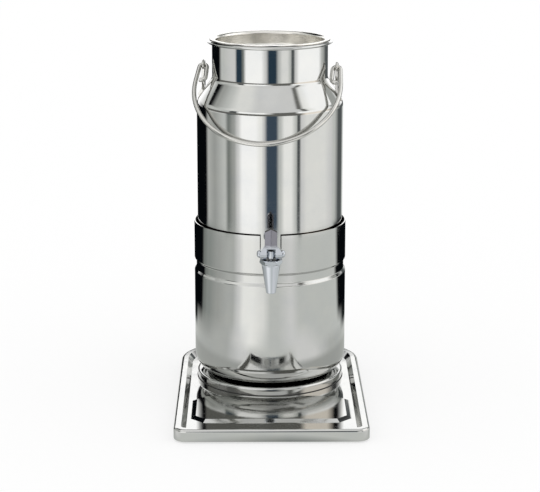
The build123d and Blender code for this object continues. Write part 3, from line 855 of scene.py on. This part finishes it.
MIDDLE_CARDS = (
    (-180, -118, BLACK),
    (-109, -104, DOVE),
    (-80, -71.5, SILVER),
    (-67, -58, NAVY),
    (-53.5, -52.5, FLINT),
    (-47, -17, WHITE),
    (-9, -8, SILVER),
    (-2.5, 10.5, NAVY),
    (16.5, 18, DOVE),
    (23, 33, PEARL),
    (38.5, 39.5, DOVE),
    (42, 45.5, IRON),
    (49, 50.5, SILVER),
    (57, 109, WHITE),
    (122, 125, ASH),
    (140, 150, IRON),
)
TRAY_CARDS = (
    (-180, -150, WHITE),
    (-125, -118, BLACK),
    (-112, 45, LEAD),
    (55, 95, CREAM),
    (115, 125, BLACK),
    (150, 180, WHITE),
)
HIGH_CARDS = (
    (-180, -150, WHITE),
    (-126, -114, ASH),
    (-104, -67, DOVE),
    (-63, -54, IRON),
    (-49, -10, WHITE),
    (-4, -1, SILVER),
    (7, 38, LEAD),
    (45, 104, WHITE),
    (114, 137, PEBBLE),
    (150, 180, WHITE),
)
CANOPY = (
    (-180, -117, BLACK),
    (-107, -103, PEBBLE),
    (-87, -85, DOVE),
    (-67, -45, PEARL),
    (-25, 51, SILVER),
    (56, 60, LEAD),
    (67, 69, CHALK),
    (82, 127, WHITE),
    (138, 149, SOOT),
    (160, 164, PEBBLE),
    (172, 180, FLINT),
)

# The rings of the painted floor shade, from the middle outwards: (share of the wall's radius, bands). The
# sheet lies just above the floor, only the steel sees it, and the tones are worked out at every step of
# the angle.
FLOOR_SHADE_LEVEL = 0.3 * MM
TONE_STEP = 0.5
FLOOR_SHADE_RINGS = (
    (0.1, SKIRT_FLOOR_SHADE),
    (0.22, SKIRT_FLOOR_SHADE),
    (0.245, NEAR_FLOOR_SHADE),
    (0.27, NEAR_FLOOR_SHADE),
    (0.32, FLOOR_SHADE),
    (0.4, FAR_FLOOR_SHADE),
    (0.885, FAR_FLOOR_SHADE),
    (0.9, LOW_CARDS),
    (1.0, LOW_CARDS),
)

# The wall's tiers: (name, foot, head, bands), as shares of the wall's radius.
CARD_TIERS = (
    ("low_cards", 0.0, 0.185, LOW_CARDS),
    ("middle_cards", 0.185, 0.3, MIDDLE_CARDS),
    ("tray_cards", 0.3, 0.48, TRAY_CARDS),
    ("high_cards", 0.48, 0.75, HIGH_CARDS),
    ("canopy", 0.75, 1.75, CANOPY),
)

# To the camera this share of the floor is glow and the rest is lit, and together they
# come out as white as the backdrop. The backdrop lights the can a little less than it
# shows, which is 1.
FLOOR_GLOW = 1.115
FLOOR_GLOW_SHARE = 0.55
BACKDROP_LIGHT = 0.95


class MILKCAN_OT_studio(bpy.types.Operator):
    """Make the floor, the reflector cards, the light and the camera"""

    bl_idname = "milk_can.studio"
    bl_label = "Studio"

    def execute(self, context):
        settings = context.scene.milk_can_studio
        self.make_floor(settings)
        self.make_cards(settings)
        self.make_world(context.scene)
        self.make_camera(context.scene, settings)
        context.scene.view_settings.view_transform = "Standard"
        return {"FINISHED"}

    def make_floor(self, settings):
        """A white floor that keeps the can's shadow. Most of its white is the
        backdrop's own, so that the floor meets the background without a line."""
        material, tree = new_material("white_studio_floor")
        path = add_node(tree, "ShaderNodeLightPath")
        lit = add_node(tree, "ShaderNodeBsdfDiffuse", Color=linear("#f4f4f4"))
        white = add_node(tree, "ShaderNodeEmission", Color=linear("#ffffff"), Strength=FLOOR_GLOW)
        seen = add_node(
            tree, "ShaderNodeMapRange", [("Value", path, "Is Camera Ray")],
            To_Min=0.0, To_Max=FLOOR_GLOW_SHARE,
        )
        share = add_node(
            tree, "ShaderNodeMath", [(0, seen, "Result"), (1, path, "Is Glossy Ray")],
            operation="MAXIMUM",
        )
        mix = add_node(
            tree, "ShaderNodeMixShader",
            [("Fac", share, "Value"), (1, lit, "BSDF"), (2, white, "Emission")],
        )
        close_material(tree, mix, "Shader")
        half = settings.floor_size / 2
        x, y = np.meshgrid([-half, half], [-half, half], indexing="ij")
        points = np.stack([x, y, np.zeros_like(x)], axis=-1)
        new_object("studio_floor", grid_mesh("studio_floor", points), material)

    def make_cards(self, settings):
        """The cards stand on one circle round the can, in tiers, over a sheet of painted floor shade that
        only the steel sees.
        """
        material, tree = new_material("reflector_card")
        tone = add_node(tree, "ShaderNodeAttribute", attribute_name="tone")
        glow = add_node(tree, "ShaderNodeEmission", [("Color", tone, "Color")], Strength=1.0)
        close_material(tree, glow, "Emission")
        r = settings.wall_radius
        # The floor's sheet is painted shade and reflection: grey tones that the steel mirrors in place of
        # the white floor.
        shade_sheet = [(share * r, FLOOR_SHADE_LEVEL, bands) for share, bands in FLOOR_SHADE_RINGS]
        self.card_ring("painted_floor_shade", shade_sheet, material)
        for name, low, high, bands in CARD_TIERS:
            self.card_ring(name, [(r, low * r, bands), (r, high * r, bands)], material)

    def card_ring(self, name, edges, material):
        """A surface round the can through edges that each have a radius, a height and
        bands. The tone at an angle is that of its band, or runs evenly from one band to
        the next, and between two edges it runs evenly too."""
        degrees = np.arange(-180.0, 180.0, TONE_STEP)
        turn = np.radians(degrees)[:, None]
        radius = np.array([[edge[0] for edge in edges]])
        level = np.array([[edge[1] for edge in edges]]) + 0.0 * turn
        x = CAN_AXIS[0] + radius * np.sin(turn)
        y = CAN_AXIS[1] - radius * np.cos(turn)
        mesh = grid_mesh(name, np.stack([x, y, level], axis=-1), True, False)
        colours = np.ones((len(degrees), len(edges), 4))
        steel = np.array(linear(STEEL)[:3])
        for column, edge in enumerate(edges):
            bands = edge[2]
            stops = [angle for start, end, code in bands for angle in (start, end)]
            glows = np.array([linear(code)[:3] for start, end, code in bands]) / steel
            glows = np.repeat(glows, 2, axis=0)
            for channel in range(3):
                colours[:, column, channel] = np.interp(degrees, stops, glows[:, channel], period=360)
        attribute = mesh.color_attributes.new("tone", "FLOAT_COLOR", "POINT")
        attribute.data.foreach_set("color", colours.ravel())
        card = new_object(name, mesh, material)
        card.visible_camera = False
        card.visible_diffuse = False
        card.visible_shadow = False
        card.visible_volume_scatter = False

    def make_world(self, scene):
        """White all round. What it gives to the lighting is a little less than what
        the camera and the metal see."""
        world = bpy.data.worlds.new("studio_white")
        scene.world = world
        world.use_nodes = True
        tree = world.node_tree
        tree.nodes.clear()
        path = add_node(tree, "ShaderNodeLightPath")
        light = add_node(tree, "ShaderNodeBackground", Color=(1.0, 1.0, 1.0, 1.0), Strength=BACKDROP_LIGHT)
        white = add_node(tree, "ShaderNodeBackground", Color=(1.0, 1.0, 1.0, 1.0), Strength=1.0)
        mirrored = add_node(
            tree, "ShaderNodeMath", [(0, path, "Is Glossy Ray"), (1, path, "Is Transmission Ray")],
            operation="MAXIMUM",
        )
        seen = add_node(
            tree, "ShaderNodeMath", [(0, path, "Is Camera Ray"), (1, mirrored, "Value")],
            operation="MAXIMUM",
        )
        mix = add_node(
            tree, "ShaderNodeMixShader",
            [("Fac", seen, "Value"), (1, light, "Background"), (2, white, "Background")],
        )
        add_node(tree, "ShaderNodeOutputWorld", [("Surface", mix, "Shader")])

    def make_camera(self, scene, settings):
        """A long lens at a standing viewer's height."""
        data = bpy.data.cameras.new("camera")
        data.lens = settings.lens
        data.sensor_width = 36.0
        data.clip_end = 100.0
        camera = bpy.data.objects.new("camera", data)
        camera.location = settings.camera_place
        camera.rotation_euler = (settings.camera_tilt, 0.0, settings.camera_turn)
        scene.collection.objects.link(camera)
        scene.camera = camera


class MILKCAN_PT_panel(bpy.types.Panel):
    """Lists the milk can's pieces and its studio"""

    bl_idname = "MILKCAN_PT_panel"
    bl_label = "Milk Can"
    bl_space_type = "VIEW_3D"
    bl_region_type = "UI"
    bl_category = "Milk Can"

    def draw(self, context):
        for operator in OPERATORS:
            self.layout.operator(operator.bl_idname)
        for group in (context.scene.milk_can_finishes, context.scene.milk_can_studio):
            for name in group.__annotations__:
                self.layout.prop(group, name)


OPERATORS = (
    MILKCAN_OT_can,
    MILKCAN_OT_stand,
    MILKCAN_OT_tray,
    MILKCAN_OT_fasteners,
    MILKCAN_OT_bail,
    MILKCAN_OT_lid,
    MILKCAN_OT_tap,
    MILKCAN_OT_valve,
    MILKCAN_OT_studio,
)
CLASSES = (MilkCanFinishes, MilkCanStudio, *OPERATORS, MILKCAN_PT_panel)


def register():
    """Registers the classes and their settings."""
    for item in CLASSES:
        bpy.utils.register_class(item)
    bpy.types.Scene.milk_can_finishes = PointerProperty(type=MilkCanFinishes)
    bpy.types.Scene.milk_can_studio = PointerProperty(type=MilkCanStudio)


def unregister():
    """Takes the classes and their settings away again."""
    del bpy.types.Scene.milk_can_studio
    del bpy.types.Scene.milk_can_finishes
    for item in reversed(CLASSES):
        bpy.utils.unregister_class(item)


def main():
    """Makes everything in order."""
    register()
    bpy.ops.milk_can.can()
    bpy.ops.milk_can.stand()
    bpy.ops.milk_can.tray()
    bpy.ops.milk_can.fasteners()
    bpy.ops.milk_can.bail()
    bpy.ops.milk_can.lid()
    bpy.ops.milk_can.tap()
    bpy.ops.milk_can.valve()
    bpy.ops.milk_can.studio()


if __name__ == "__main__":
    main()
